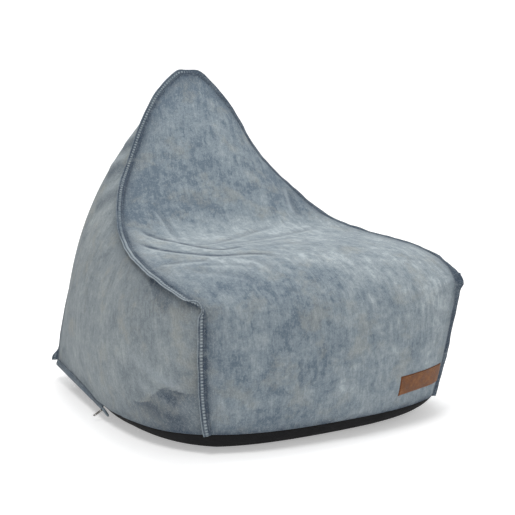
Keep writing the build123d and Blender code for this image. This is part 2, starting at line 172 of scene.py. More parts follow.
def coons(low, high, left, right, bulge, s, t):
    """A panel between four edges, which swells by bulge in its middle."""
    s1, t1 = s[..., None], t[..., None]
    first, last = np.zeros(1), np.ones(1)
    along = (1 - t1) * low(s) + t1 * high(s)
    across = (1 - s1) * left(t) + s1 * right(t)
    corners = (1 - s1) * ((1 - t1) * low(first) + t1 * high(first))
    corners = corners + s1 * ((1 - t1) * low(last) + t1 * high(last))
    swell = (1 - (2 * s1 - 1) ** 4) * (1 - (2 * t1 - 1) ** 4)
    return along + across - corners + np.array(bulge) * MM * swell


def lattice(rows, columns):
    """Even shares of both directions of a panel."""
    return np.meshgrid(np.linspace(0, 1, rows + 1), np.linspace(0, 1, columns + 1), indexing="ij")


def packed(count, thin, thick, start, stop):
    """Shares from 0 to 1, closer together from start to stop."""
    at = np.linspace(0, 1, 2001)
    density = thin + (thick - thin) * smooth(at, start - 0.08, start) * (1 - smooth(at, stop, stop + 0.08))
    total = np.concatenate([[0], np.cumsum((density[1:] + density[:-1]) / 2)])
    return np.interp(np.linspace(0, 1, count + 1), total / total[-1], at)


def seat_shares(rows, down):
    """Where the seat panel's lines run: closest together where its folds are."""
    return packed(rows, 0.7, 1.5, 0.04, 0.52), packed(down, 0.6, 1.4, 0.38, 1.2)


def seat_shape(rows, down, apron_down):
    """The seat panel: backrest, seat and apron in one piece. Its first index runs from -X to +X."""
    across, along = seat_shares(rows, down)
    upper = crowned(seat_middle, front, *np.meshgrid(across, along, indexing="ij"))
    below = np.linspace(0, 1, apron_down + 1)
    lower = crowned(apron_middle, corner, *np.meshgrid(across, below, indexing="ij"))
    grid = np.concatenate([upper, lower[:, 1:]], axis=1)
    for _ in range(40):  # rounds the front edge between seat and apron
        j = slice(max(down - 14, 1), down + 8)
        before, after = grid[:, j.start - 1 : j.stop - 1], grid[:, j.start + 1 : j.stop + 1]
        grid[1:-1, j] += 0.4 * ((before + after) / 2 - grid[:, j])[1:-1]
    return grid


def side_shape(rows, up, half):
    """A side panel, from the front corner to the rear seam and from the base to the front seam."""
    return half * coons(side_base, lambda s: front(1 - s), lambda t: corner(1 - t), rear,
                        (SIDE_BULGE, 0, 0), *lattice(rows, up))


def back_shape(rows, up):
    """The back panel, from its left seam to its right one."""
    return coons(back_base, top_edge, lambda t: rear(t) * LEFT, rear, (0, BACK_BULGE, 0),
                 *lattice(rows, up))


HEART = np.array([0, 0.06, 0.25])  # a point inside the chair


def facing(grid):
    """Unit normals of a grid, pointing out of the chair, and whether its own order points inwards."""
    n = np.cross(np.gradient(grid, axis=0), np.gradient(grid, axis=1))
    n /= np.maximum(np.linalg.norm(n, axis=-1, keepdims=True), 1e-12)
    middle = tuple(k // 2 for k in grid.shape[:2])
    inwards = n[middle] @ (grid[middle] - HEART) <= 0
    return -n if inwards else n, inwards


def run(grid, axis):
    """How far each point of a grid is along its line, in metres."""
    steps = np.linalg.norm(np.diff(grid, axis=axis), axis=-1)
    pad = [(1, 0), (0, 0)] if axis == 0 else [(0, 0), (1, 0)]
    return np.pad(np.cumsum(steps, axis=axis), pad)


def edge_distances(grid):
    """(distance to, and place along) each of the four edges of a grid."""
    s, t = run(grid, 0), run(grid, 1)
    return {
        "s0": (s, t[:1] + 0 * s),
        "s1": (s[-1:] - s, t[-1:] + 0 * s),
        "t0": (t, s[:, :1] + 0 * s),
        "t1": (t[:, -1:] - t, s[:, -1:] + 0 * s),
    }


# ---- folds and creases
def to_line(points, line):
    """Signed distance of points to a polyline in millimetres, and the share of it at the nearest place."""
    line = np.array(line, float) * MM
    flat = points.reshape(-1, 3)
    best, side, share = np.full(len(flat), 9.0), np.zeros(len(flat)), np.zeros(len(flat))
    start = lengths_along(line)
    start /= start[-1]
    for k, (a, b) in enumerate(zip(line, line[1:])):
        d = b - a
        u = np.clip((flat - a) @ d / (d @ d), 0, 1)
        off = flat - a - u[:, None] * d
        far = np.linalg.norm(off, axis=1)
        near = far < best
        best[near] = far[near]
        up = (0, 0, 1) if abs(d[2]) < 0.6 * np.linalg.norm(d) else (-0.5, -0.8, 0.1)
        side[near] = np.sign(np.cross(d, off) @ np.array(up))[near]
        share[near] = start[k] + u[near] * (start[k + 1] - start[k])
    return (best * side).reshape(points.shape[:-1]), share.reshape(points.shape[:-1])


def smoothed(line):
    """A polyline with its corners cut, so that a fold along it bends gently."""
    p = np.array(line, float)
    for _ in range(3):
        after = np.roll(p, -1, 0)
        q = np.stack([0.75 * p + 0.25 * after, 0.25 * p + 0.75 * after], axis=1).reshape(-1, 3)
        p = np.concatenate([p[:1], q[1:-3], p[-1:]])
    return p


# Each fold of the seat panel: its line, height, width, and the depth of the valley on its left.
SEAT_FOLDS = [
    ([(-288, 75, 470), (-275, 5, 449), (-250, -50, 441), (-232, -110, 438), (-218, -190, 436),
      (-190, -232, 435), (-140, -224, 438), (-80, -200, 440)], 6.0, 5.5, 4.0),
    ([(-330, -20, 442), (-322, -95, 434), (-305, -155, 432), (-275, -225, 430), (-235, -280, 427),
      (-185, -292, 428), (-140, -300, 429), (-85, -350, 417)], 6.5, 6.0, 4.5),
    ([(-240, -105, 437), (-200, -142, 438), (-155, -140, 439), (-90, -100, 438), (0, -38, 439),
      (70, -8, 446), (140, 20, 454)], 3.2, 6.0, 1.5),
    ([(-195, -160, 439), (-130, -166, 440), (-70, -150, 440), (0, -130, 439), (60, -98, 438),
      (160, -54, 439), (270, -8, 447)], 3.0, 7.0, 1.5),
    ([(-237, -284, 425), (-195, -310, 424), (-172, -338, 418), (-150, -392, 400)], 3.0, 6.0, 1.5),
    ([(-370, -242, 411), (-335, -262, 415), (-300, -278, 418), (-250, -302, 420)], 3.5, 6.0, 1.8),
    ([(-212, 112, 508), (-201, 68, 477), (-210, 10, 451), (-238, -95, 438)], 4.0, 4.5, 1.8),
    ([(228, 165, 548), (218, 130, 522), (206, 98, 498), (196, 52, 469)], 3.5, 7.0, 2.0),
    ([(206, 170, 552), (200, 130, 520), (190, 95, 493)], 2.2, 6.0, 1.2),
    ([(-150, -200, 439), (-60, -178, 441), (40, -160, 440), (120, -120, 439)], 2.2, 8.0, 1.2),
    ([(-120, -245, 437), (-30, -235, 438), (70, -220, 437), (160, -180, 437)], 2.0, 9.0, 1.0),
    ([(-300, -300, 416), (-260, -330, 412), (-215, -345, 410), (-170, -375, 402)], 2.4, 6.0, 1.2),
    ([(-330, -320, 404), (-290, -355, 399), (-240, -385, 391), (-200, -420, 375)], 2.2, 7.0, 1.2),
    ([(-140, 235, 690), (-118, 212, 668), (-104, 196, 640)], 2.4, 4.0, 1.0),
]
# The same for the left side panel.
SIDE_FOLDS = [
    ([(-428, -190, 235), (-420, -250, 205), (-408, -310, 180), (-385, -358, 160), (-350, -395, 148)],
     5.0, 14.0, 4.5),
    ([(-425, -230, 165), (-412, -290, 140), (-392, -345, 118), (-352, -392, 100)], 4.0, 14.0, 3.5),
    ([(-400, -300, 255), (-385, -350, 230), (-362, -395, 200)], 3.0, 12.0, 2.5),
    ([(-372, -120, 395), (-382, -170, 378), (-392, -225, 352)], 4.0, 14.0, 4.0),
    ([(-385, -235, 378), (-392, -285, 340), (-390, -330, 300)], 3.5, 12.0, 3.0),
    ([(-172, 290, 700), (-190, 310, 690), (-205, 335, 668)], 5.5, 10.0, 3.0),
    ([(-205, 268, 640), (-225, 300, 625), (-240, 340, 600)], 5.5, 11.0, 3.2),
    ([(-245, 225, 575), (-268, 262, 550), (-285, 310, 515)], 4.0, 13.0, 2.4),
]


def folded(points, folds):
    """How high the folds raise the fabric at these points, and how worn and how shaded it is there."""
    height, worn, shade = (np.zeros(points.shape[:-1]) for _ in range(3))
    for line, high, wide, deep in folds:
        d, share = to_line(points, smoothed(line))
        d = d / MM / (1.25 * wide)
        fade = smooth(share, 0, 0.16) * smooth(1 - share, 0, 0.22)
        crest = np.exp(-np.abs(d)) * (1 - np.exp(-3 * (np.abs(d) + 0.35) ** 2))
        valley = np.exp(-(((d - 2.1) / 1.5) ** 2))
        height += fade * (1.75 * high * crest - 1.3 * deep * valley)
        worn = np.maximum(worn, fade * np.exp(-((d / 0.95) ** 2)) * min(high / 5, 1))
        shade = np.maximum(shade, fade * valley * min(deep / 4.5, 1))
    return height * MM, worn, shade


def puckers(edge, pitch, high, reach, seed):
    """Small gathers along a sewn edge, which fade into the panel."""
    far, along = edge
    wave = ripple(along + 0.25 * far * ripple(along, 0.09, seed + 1), pitch, seed)
    return high * MM * wave * np.exp(-far / (reach * MM)) * (1 - np.exp(-far / (2.5 * MM)))


def pillow(far, high, reach):
    """The round of filling beside a seam, which leaves the seam in a valley."""
    at = far / (reach * MM)
    return high * MM * at * np.exp(1 - at)


def relief(name, grid):
    """Height over the plain shape, paleness of worn ridges, and painted shade in the fold valleys and beside
    the seams, with a painted shadow along the side panels' front seam.
    """
    edges = edge_distances(grid)
    nearest = np.min([far for far, _ in edges.values()], axis=0)
    height = 0 * nearest
    seed = {"seat": 10, "left": 20, "right": 30, "back": 40}[name]
    free = 1 - np.exp(-nearest / 0.035)
    height += free * 3.4 * MM * noise(grid, 0.16, seed)
    height += free * 1.5 * MM * noise(grid, 0.065, seed + 1)
    height += free * 0.45 * MM * noise(grid * np.array([1, 1, 1.3]), 0.024, seed + 2)
    worn, shade = 0 * nearest, 0 * nearest
    if name == "seat":
        for side in ("s0", "s1"):
            height += pillow(edges[side][0], 3.6, 15)
            height += puckers(edges[side], 0.026, 1.5, 28, seed + 3)
            height += puckers(edges[side], 0.075, 2.6, 60, seed + 4)
        height += puckers(edges["t1"], 0.017, 3.4, 34, seed + 5)
        height += puckers(edges["t1"], 0.06, 4.2, 60, seed + 6)
        extra, worn, shade = folded(grid, SEAT_FOLDS)
        height += extra
    elif name in ("left", "right"):
        for side, pitch, high, reach in (
            ("t1", 0.03, 2.2, 34), ("s0", 0.024, 1.8, 30), ("s1", 0.04, 1.8, 30), ("t0", 0.017, 1.8, 26),
        ):
            height += puckers(edges[side], pitch, high, reach, seed + 3)
            height += puckers(edges[side], pitch * 2.9, high * 1.3, reach * 2, seed + 4)
        folds = SIDE_FOLDS if name == "left" else SIDE_FOLDS[:3] + SIDE_FOLDS[5:]
        extra, worn, shade = folded(grid * (RIGHT if name == "left" else LEFT), folds)
        height += extra + pillow(edges["t1"][0], 3.0, 17)
        worn *= 0.55
    else:
        for side in edges:
            height += puckers(edges[side], 0.028, 2.0, 32, seed + 3)
            height += puckers(edges[side], 0.08, 3.0, 60, seed + 4)
    height *= 1 - np.exp(-((nearest / 0.006) ** 2))
    if name in ("left", "right"):
        far, along = edges["t1"]
        # painted shadow cast by the seat panel's flange onto the side panel along its front seam
        shade = shade + 0.42 * np.exp(-far / 0.024) * (0.75 + 0.6 * ripple(along, 0.035, seed + 7))
    # painted shade: darker beside every seam and towards the panel's edges, and in the fold valleys
    dark = np.exp(-nearest / 0.010) * 0.75 + np.exp(-nearest / 0.045) * 0.34 + 0.85 * shade
    return height, worn, dark


def washed_and_lit(name, grid):
    """How far the stone-washing has bleached the denim, with painted light and shade added by place; 0 is
    middling.
    """
    x, y, z = np.moveaxis(grid, -1, 0)
    drift = 0.3 * noise(grid, 0.22, 81) + 0.25 * noise(grid @ TILT, 0.11, 82)
    if name != "seat":
        # painted shade: the side panels darker towards their lower front
        low = smooth(0.32 - z, 0, 0.24) * smooth(-y, 0.10, 0.34)
        return drift - 0.25 - 1.9 * low
    # painted light and shade: the backrest darker, the seat's top paler and paler still towards +X, the apron
    # darker towards -X and paler towards +X
    rest = smooth(z, 0.448, 0.50)
    level = smooth(z, 0.385, 0.425)
    lit_seat_top, apron = (1 - rest) * level, (1 - rest) * (1 - level)
    lit = 0.55 + 0.25 * smooth(x, -0.2, 0.1)
    return drift - 1.1 * rest + lit * lit_seat_top + apron * (1.05 * smooth(x, -0.05, 0.25) - 0.5)


# ---- meshes
def link(obj):
    bpy.context.scene.collection.objects.link(obj)
    return obj


def mesh_object(name, points, faces):
    """A smooth-shaded mesh from points and lists of corner numbers."""
    mesh = bpy.data.meshes.new(name)
    mesh.from_pydata(np.asarray(points, float).reshape(-1, 3).tolist(), [], faces)
    mesh.update()
    mesh.shade_smooth()
    return link(bpy.data.objects.new(name, mesh))


def quads(rows, columns, flip, first=0):
    """Faces of a grid whose points run along its columns first."""
    i, j = np.meshgrid(np.arange(rows - 1), np.arange(columns - 1), indexing="ij")
    a = first + (i * columns + j).ravel()
    f = np.stack([a, a + columns, a + columns + 1, a + 1], axis=1)
    return (f[:, ::-1] if flip else f).tolist()


def outward_quads(grid):
    return quads(*grid.shape[:2], facing(grid)[1])


def ring_faces(rows, columns):
    """Faces between closed rings of points."""
    return [(i * columns + j, i * columns + (j + 1) % columns,
             (i + 1) * columns + (j + 1) % columns, (i + 1) * columns + j)
            for i in range(rows - 1) for j in range(columns)]


def tube_faces(rows, columns):
    """The same, with the first and last rings closed."""
    last = range((rows - 1) * columns, rows * columns)
    return ring_faces(rows, columns) + [tuple(range(columns))[::-1], tuple(last)]


def vectors(items, field):
    """A vector field of a mesh's vertices, one row for each."""
    values = np.zeros(len(items) * 3, np.float32)
    items.foreach_get(field, values)
    return values.reshape(-1, 3).astype(float)


def thicken(obj, side):
    """Gives a sheet its thickness, on the side of its normals (1) or the other (-1)."""
    modifier = obj.modifiers.new("Thickness", "SOLIDIFY")
    modifier.thickness, modifier.offset = DENIM * MM, side


def attribute(obj, name, values):
    """A value for each point, which a material reads by name."""
    a = obj.data.attributes.new(name, "FLOAT", "POINT")
    a.data.foreach_set("value", np.asarray(values, np.float32).ravel())


def lay_uv(obj, u, v):
    """UVs in metres, so that a weave keeps its size."""
    layer = obj.data.uv_layers.new(name="cloth")
    at = np.zeros(len(obj.data.loops), np.int32)
    obj.data.loops.foreach_get("vertex_index", at)
    uv = np.stack([np.ravel(u)[at], np.ravel(v)[at]], axis=1)
    layer.data.foreach_set("uv", uv.astype(np.float32).ravel())


# ---- cloth simulation
FRAMES = 24


def settled(name, grid, slack):
    """The grid after the cloth settles: its edges stay sewn, and it has spare width."""
    cloth = mesh_object(f"sim_{name}", grid, outward_quads(grid))
    held = np.full(grid.shape[:2], 0.05)
    for edge in (np.s_[0, :], np.s_[-1, :], np.s_[:, 0], np.s_[:, -1]):
        held[edge] = 1
    for label, weights in (("held", held), ("slack", slack)):
        group = cloth.vertex_groups.new(name=label)
        for i, w in enumerate(weights.ravel()):
            group.add([i], float(w), "REPLACE")
    modifier = cloth.modifiers.new("Cloth", "CLOTH")
    s = modifier.settings
    s.quality = 5
    s.mass = 0.15
    s.tension_stiffness = s.compression_stiffness = 25
    s.shear_stiffness = 12
    s.bending_stiffness = 1.2
    s.tension_damping = s.compression_damping = 5
    s.vertex_group_mass = "held"
    s.pin_stiffness = 0.6
    s.vertex_group_shrink = "slack"
    s.shrink_min, s.shrink_max = 0.0, -0.05
    s.use_pressure = True
    s.uniform_pressure_force = 0.6
    s.effector_weights.gravity = 0.35
    modifier.collision_settings.use_collision = False
    modifier.point_cache.frame_start, modifier.point_cache.frame_end = 1, FRAMES
    for k in range(1, FRAMES + 1):
        bpy.context.scene.frame_set(k)
    shown = cloth.evaluated_get(bpy.context.evaluated_depsgraph_get()).to_mesh()
    after = vectors(shown.vertices, "co").reshape(grid.shape)
    bpy.context.scene.frame_set(1)
    bpy.data.objects.remove(cloth)
    return after


def refined(field, rows, columns):
    """A coarse grid of moves, read at a finer grid by smooth interpolation."""
    def along(values, count):
        n = len(values)
        x = np.linspace(0, n - 1, count)
        i = np.clip(np.floor(x).astype(int), 0, n - 2)
        f = (x - i).reshape(-1, *[1] * (values.ndim - 1))
        p = [values[np.clip(i + k, 0, n - 1)] for k in (-1, 0, 1, 2)]
        return p[1] + 0.5 * f * (p[2] - p[0] + f * (2 * p[0] - 5 * p[1] + 4 * p[2] - p[3]
                                 + f * (3 * (p[1] - p[2]) + p[3] - p[0])))
    return np.swapaxes(along(np.swapaxes(along(field, rows), 0, 1), columns), 0, 1)


CAP = 7.0 * MM  # how far the simulation may move a point
DEEPEST = 2.2 * MM  # about how far a valley may go below the plain shape


def dressed(name, grid):
    """The panel's final grid, with its relief and what the simulation adds, and its shading."""
    height, worn, dark = relief(name, grid)
    out = facing(grid)[0]
    made = grid + height[..., None] * out
    coarse = made[::2, ::2]
    edges = edge_distances(coarse)
    nearest = np.min([far for far, _ in edges.values()], axis=0)
    slack = 0.35 + 0.65 * np.exp(-nearest / 0.09)
    move = settled(name, coarse, np.clip(slack, 0, 1)) - coarse
    size = np.linalg.norm(move, axis=-1, keepdims=True)
    move *= CAP * np.tanh(size / CAP) / np.maximum(size, 1e-9)
    made = made + refined(move, *grid.shape[:2])
    high = ((made - grid) * out).sum(-1)
    kept = DEEPEST * (np.log1p(np.exp(np.clip(high / DEEPEST + 1, -30, 30))) - 1)
    lift = np.where(high < 3 * DEEPEST, kept - high, 0) * smooth(3 - high / DEEPEST, 0, 1)
    return made + lift[..., None] * out, worn, dark


SEAT_DOWN = 240  # lines of the seat panel's grid down to the front edge, where the apron starts
PLAIN = {
    "seat": seat_shape(160, SEAT_DOWN, 54),
    "left": side_shape(180, 128, LEFT),
    "right": side_shape(180, 128, RIGHT),
    "back": back_shape(136, 136),
}
FINAL = {name: dressed(name, grid) for name, grid in PLAIN.items()}


def panel(name, piece):
    """A panel's cloth, with its weave laid out from its middle, and its wear, its wash and its painted light
    and shade put on.
    """
    made, worn, dark = FINAL[name]
    obj = mesh_object(piece, made, outward_quads(made))
    plain = PLAIN[name]
    middle = plain.shape[0] // 2
    s, t = run(plain, 0), run(plain, 1)
    lay_uv(obj, s - s[middle : middle + 1], t)
    attribute(obj, "worn", worn)
    attribute(obj, "dark", dark)
    attribute(obj, "wash_and_light", washed_and_lit(name, plain))
    attribute(obj, "sand", np.full(plain.shape[:2], 0.0 if name == "seat" else 0.30))
    thicken(obj, -1)
    return obj


# ---- material helpers
class Nodes:
    """Short names for building a node tree."""

    def __init__(self, name, **fixed):
        self.material = bpy.data.materials.new(name)
        self.material.use_nodes = True
        self.tree = self.material.node_tree
        self.shader = self.tree.nodes["Principled BSDF"]
        for socket, value in fixed.items():
            self.shader.inputs[socket.replace("_", " ")].default_value = value

    def node(self, kind, inputs=None, **settings):
        n = self.tree.nodes.new(kind)
        for key, value in settings.items():
            setattr(n, key, value)
        for key, value in (inputs or {}).items():
            socket = n.inputs[key]
            if isinstance(value, bpy.types.NodeSocket):
                self.tree.links.new(value, socket)
            else:
                socket.default_value = value
        return n

    def place(self, scale=(1, 1, 1), rotate=(0, 0, 0), of="Object"):
        inputs = {"Vector": self.node("ShaderNodeTexCoord").outputs[of], "Scale": scale, "Rotation": rotate}
        return self.node("ShaderNodeMapping", inputs).outputs[0]

    def noise(self, vector, scale, detail, rough=0.55, distortion=0.0):
        inputs = {"Vector": vector, "Scale": scale, "Detail": detail, "Roughness": rough,
                  "Distortion": distortion}
        return self.node("ShaderNodeTexNoise", inputs).outputs["Fac"]

    def ramp(self, value, *stops):
        n = self.node("ShaderNodeValToRGB", {"Fac": value})
        n.color_ramp.interpolation = "EASE"
        marks = n.color_ramp.elements
        while len(marks) < len(stops):
            marks.new(0.5)
        for mark, (at, colour) in zip(marks, stops):
            mark.position, mark.color = at, (*colour, 1)
        return n.outputs["Color"]

    def spread(self, value, low, high, out_low, out_high):
        inputs = {"Value": value, "From Min": low, "From Max": high, "To Min": out_low, "To Max": out_high}
        return self.node("ShaderNodeMapRange", inputs, interpolation_type="SMOOTHSTEP").outputs[0]

    def math(self, operation, a, b, clamp=False):
        return self.node("ShaderNodeMath", {0: a, 1: b}, operation=operation, use_clamp=clamp).outputs[0]

    def total(self, *parts):
        """The sum of several values, each times its own weight."""
        result, *others = [self.math("MULTIPLY", value, weight) for value, weight in parts]
        for other in others:
            result = self.math("ADD", result, other)
        return result

    def mix(self, factor, a, b):
        a, b = ((*c, 1) if isinstance(c, tuple) else c for c in (a, b))
        return self.node("ShaderNodeMix", {0: factor, 6: a, 7: b}, data_type="RGBA").outputs[2]

    def painted(self, name):
        return self.node("ShaderNodeAttribute", attribute_name=name).outputs["Fac"]

    def weave(self, pitch, angle, of="UV"):
        inputs = {"Vector": self.place((1, 1, 1), (0, 0, angle), of), "Scale": 0.314 / pitch,
                  "Distortion": 0.6, "Detail": 1.0, "Detail Scale": 1.5}
        return self.node("ShaderNodeTexWave", inputs).outputs["Fac"]

    def cells(self, scale):
        inputs = {"Vector": self.place(), "Scale": scale}
        return self.node("ShaderNodeTexVoronoi", inputs, feature="F1").outputs["Distance"]

    def bump(self, height, distance, strength, after=None):
        inputs = {"Height": height, "Distance": distance, "Strength": strength}
        if after is not None:
            inputs["Normal"] = after
        return self.node("ShaderNodeBump", inputs).outputs[0]

    def finish(self, colour, roughness=None, normal=None):
        for socket, value in (("Base Color", colour), ("Roughness", roughness), ("Normal", normal)):
            if value is not None:
                self.tree.links.new(value, self.shader.inputs[socket])
        return self.material


INDIGO = (0.035, 0.052, 0.078)
DEEP = (0.104, 0.140, 0.178)
MIDDLE = (0.188, 0.230, 0.262)
FADED = (0.262, 0.304, 0.328)
PALE = (0.41, 0.46, 0.485)
SAND = (0.285, 0.290, 0.262)


def denim(name, seam_shade, tone=0.0):
    """Stone-washed denim. seam_shade is how indigo it is all over, and a higher tone is paler."""
    m = Nodes(name, Roughness=0.92, Sheen_Weight=0.05, Sheen_Roughness=0.5, Specular_IOR_Level=0.15)
    here = m.place()
    cloud = m.noise(here, 7.0, 4.0, 0.6, 0.5)
    blotch = m.noise(m.place((1, 1, 1), (0.4, 0.2, 0.7)), 21.0, 5.0, 0.65, 0.4)
    mottle = m.noise(here, 70.0, 5.0, 0.72)
    streak = m.noise(m.place((60, 11, 1), (0, 0, 0.5), "UV"), 1.0, 4.0, 0.65)
    slub = m.noise(m.place((420, 40, 1), (0, 0, 0.5), "UV"), 1.0, 3.0, 0.7)
    grain = m.noise(here, 240.0, 3.0, 0.8)
    # random wash patches, plus the painted light and shade that the panels carry in their attribute
    wash_and_light = m.total((cloud, 0.24), (blotch, 0.28), (streak, 0.22), (mottle, 0.26),
                   (m.painted("wash_and_light"), 0.055))
    wash_and_light = m.math("ADD", wash_and_light, tone)
    colour = m.ramp(wash_and_light, (0.40, DEEP), (0.475, MIDDLE), (0.535, FADED), (0.63, PALE))
    sandy = m.spread(m.noise(m.place((1, 1, 1), (1.1, 0.3, 0.2)), 11.0, 5.0, 0.7), 0.50, 0.66, 0, 0.40)
    colour = m.mix(m.math("ADD", sandy, m.painted("sand"), True), colour, SAND)
    colour = m.mix(m.spread(m.painted("worn"), 0.0, 1.0, 0.0, 0.70), colour, PALE)
    # painted shade from the dark attribute, in valleys, beside seams, in stitch grooves and in shadows, with
    # the darker edges of some pieces; broken up by the blotches
    shade_and_dark_edges = m.math("MULTIPLY", m.painted("dark"), m.spread(blotch, 0.38, 0.58, 0.6, 1.1))
    colour = m.mix(m.math("ADD", shade_and_dark_edges, seam_shade, True), colour, INDIGO)
    twill = m.weave(1.3 * MM, 0.95)
    threads = m.total((twill, 0.15), (slub, 0.35), (grain, 0.50))
    colour = m.mix(m.spread(threads, 0.50, 0.66, 0.0, 0.42), colour, PALE)
    colour = m.mix(m.spread(threads, 0.50, 0.36, 0.0, 0.42), colour, DEEP)
    normal = m.bump(threads, 0.6 * MM, 0.6)
    normal = m.bump(mottle, 2.0 * MM, 0.4, normal)
    return m.finish(colour, m.spread(wash_and_light, 0.3, 0.7, 0.86, 0.97), normal)


def plain_weave(name, dark, light, pitch, of="UV", roughness=0.85, gloss=0.25):
    """A plain woven fabric, with threads across each other."""
    m = Nodes(name, Roughness=roughness, Specular_IOR_Level=gloss)
    warp, weft = m.weave(pitch, 0.0, of), m.weave(pitch, math.pi / 2, of)
    threads = m.math("MAXIMUM", warp, weft)
    shade = m.noise(m.place(), 30.0, 3.0)
    colour = m.ramp(m.total((threads, 0.5), (shade, 0.5)), (0.3, dark), (0.75, light))
    return m.finish(colour, m.spread(shade, 0.3, 0.7, roughness - 0.08, roughness + 0.06),
                    m.bump(threads, 0.3 * MM, 0.6))


def leather():
    m = Nodes("leather", Roughness=0.55, Specular_IOR_Level=0.22)
    here = m.place()
    grain = m.cells(650.0)
    blotch = m.noise(here, 60.0, 4.0, 0.6)
    fleck = m.noise(here, 380.0, 3.0, 0.7)
    colour = m.ramp(blotch, (0.38, (0.100, 0.034, 0.009)), (0.52, (0.140, 0.050, 0.014)),
                    (0.66, (0.195, 0.078, 0.026)))
    colour = m.mix(m.spread(fleck, 0.52, 0.68, 0, 0.5), colour, (0.26, 0.12, 0.052))
    colour = m.mix(m.painted("dark"), colour, (0.130, 0.036, 0.008))
    normal = m.bump(grain, 0.25 * MM, 0.6)
    return m.finish(colour, m.spread(blotch, 0.3, 0.7, 0.5, 0.68), m.bump(blotch, 0.5 * MM, 0.3, normal))


def thread(name, dark, light):
    m = Nodes(name, Roughness=0.7, Specular_IOR_Level=0.3)
    twist = m.weave(0.7 * MM, 0.7, "Object")
    colour = m.ramp(twist, (0.2, dark), (0.9, light))
    return m.finish(colour, m.spread(twist, 0, 1, 0.62, 0.8), m.bump(twist, 0.15 * MM, 0.5))


def metal():
    m = Nodes("zip_metal", Metallic=1.0)
    brush = m.noise(m.place((1, 1, 12)), 700.0, 3.0, 0.6)
    stain = m.noise(m.place(), 240.0, 4.0, 0.6)
    colour = m.ramp(stain, (0.3, (0.10, 0.095, 0.09)), (0.6, (0.24, 0.225, 0.21)),
                    (0.8, (0.42, 0.40, 0.37)))
    return m.finish(colour, m.spread(brush, 0.3, 0.7, 0.28, 0.5), m.bump(brush, 0.05 * MM, 0.4))


def nylon():
    m = Nodes("zip_nylon", Specular_IOR_Level=0.5)
    shade = m.noise(m.place(), 300.0, 3.0)
    colour = m.ramp(shade, (0.3, (0.02, 0.022, 0.028)), (0.7, (0.055, 0.06, 0.07)))
    return m.finish(colour, m.spread(shade, 0.3, 0.7, 0.3, 0.45), m.bump(shade, 0.05 * MM, 0.4))


def beads():
    m = Nodes("beads", Roughness=0.6, Subsurface_Weight=0.1)
    # painted shade: the beads grey towards their edges, where they meet
    shape = m.math("SUBTRACT", 1.0, m.cells(210.0))
    colour = m.ramp(shape, (0.2, (0.45, 0.45, 0.44)), (0.7, (0.88, 0.88, 0.87)))
    return m.finish(colour, m.spread(shape, 0.2, 0.8, 0.7, 0.5), m.bump(shape, 1.5 * MM, 0.9))


DENIM_CLOTH = denim("denim", 0.0)
DENIM_SEAM = denim("denim_seam", 0.12, -0.01)
THREAD = thread("thread", (0.018, 0.024, 0.036), (0.06, 0.075, 0.10))
LABEL_THREAD = thread("label_thread", (0.20, 0.085, 0.035), (0.42, 0.22, 0.11))
BLACK = plain_weave("base_fabric", (0.0025, 0.0025, 0.003), (0.010, 0.010, 0.011), 1.4 * MM, gloss=0.12)
LINER = plain_weave("liner_fabric", (0.55, 0.55, 0.52), (0.80, 0.80, 0.77), 1.0 * MM, "Object", 0.8)
TAPE = plain_weave("zip_tape", (0.012, 0.015, 0.022), (0.05, 0.058, 0.078), 0.8 * MM)
LEATHER, METAL, NYLON, BEADS = leather(), metal(), nylon(), beads()


def make(obj, material, nodes=()):
    """Gives a piece its material, and hides the model's parts that it stands for. Every made piece rides on
    the chair.
    """
    obj.data.materials.append(material)
    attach(obj, "chair")
    if nodes:
        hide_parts(*nodes)
    return obj


# ---- denim panels
seat = make(panel("seat", "seat_cloth"), DENIM_CLOTH, ["seat_panel"])
left = make(panel("left", "left_side_cloth"), DENIM_CLOTH, ["left_side_panel"])
right = make(panel("right", "right_side_cloth"), DENIM_CLOTH, ["right_side_panel"])
back = make(panel("back", "back_cloth"), DENIM_CLOTH, ["back_panel"])


# ---- black base
def base_line():
    """Points round the base seam, from the left end of its rear edge by the front to its right end."""
    share = np.linspace(0, 1, 161)
    parts = [side_base(share[::-1]) * LEFT, PLAIN["seat"][:, -1], side_base(share), back_base(share[::-1])]
    return np.concatenate([part[:-1] for part in parts])


def base_piece():
    """The base cloth: a wall that bends in under the denim, and a flat patch on the floor."""
    ring = base_line()
    along = lengths_along(ring)
    patch = ring * np.array([BASE_TUCK, BASE_TUCK, 0])
    knee = ring * np.array([BASE_KNEE[0], BASE_KNEE[0], BASE_KNEE[1]])
    out = unit(ring * np.array([1, 1, 0]))
    rows = []
    for t in np.linspace(0, 1, 15):
        row = (1 - t) ** 2 * ring + 2 * t * (1 - t) * knee + t**2 * patch
        fade = (t * (1 - t) * 4) * np.exp(-1.6 * t)
        wave = 2.6 * ripple(along, 0.034, 71) + 2.0 * ripple(along + 0.02 * t, 0.085, 72)
        rows.append(row + out * (fade * MM * wave)[:, None])
    for share in (0.96, 0.9, 0.8, 0.66, 0.5, 0.34, 0.18, 0.07):
        rows.append(rows[14] * np.array([share, share, 1]))
    points = np.concatenate([*rows, [[0, 0, 0]]])
    n, middle = len(ring), len(points) - 1
    faces = ring_faces(len(rows), n)
    faces += [(middle - n + i, middle - n + (i + 1) % n, middle) for i in range(n)]
    obj = mesh_object("base_cloth", points, faces)
    lay_uv(obj, points[:, 0] + points[:, 2], points[:, 1] + points[:, 2] * 0.7)
    thicken(obj, 1)
    return obj


base = make(base_piece(), BLACK, ["base_panel"])


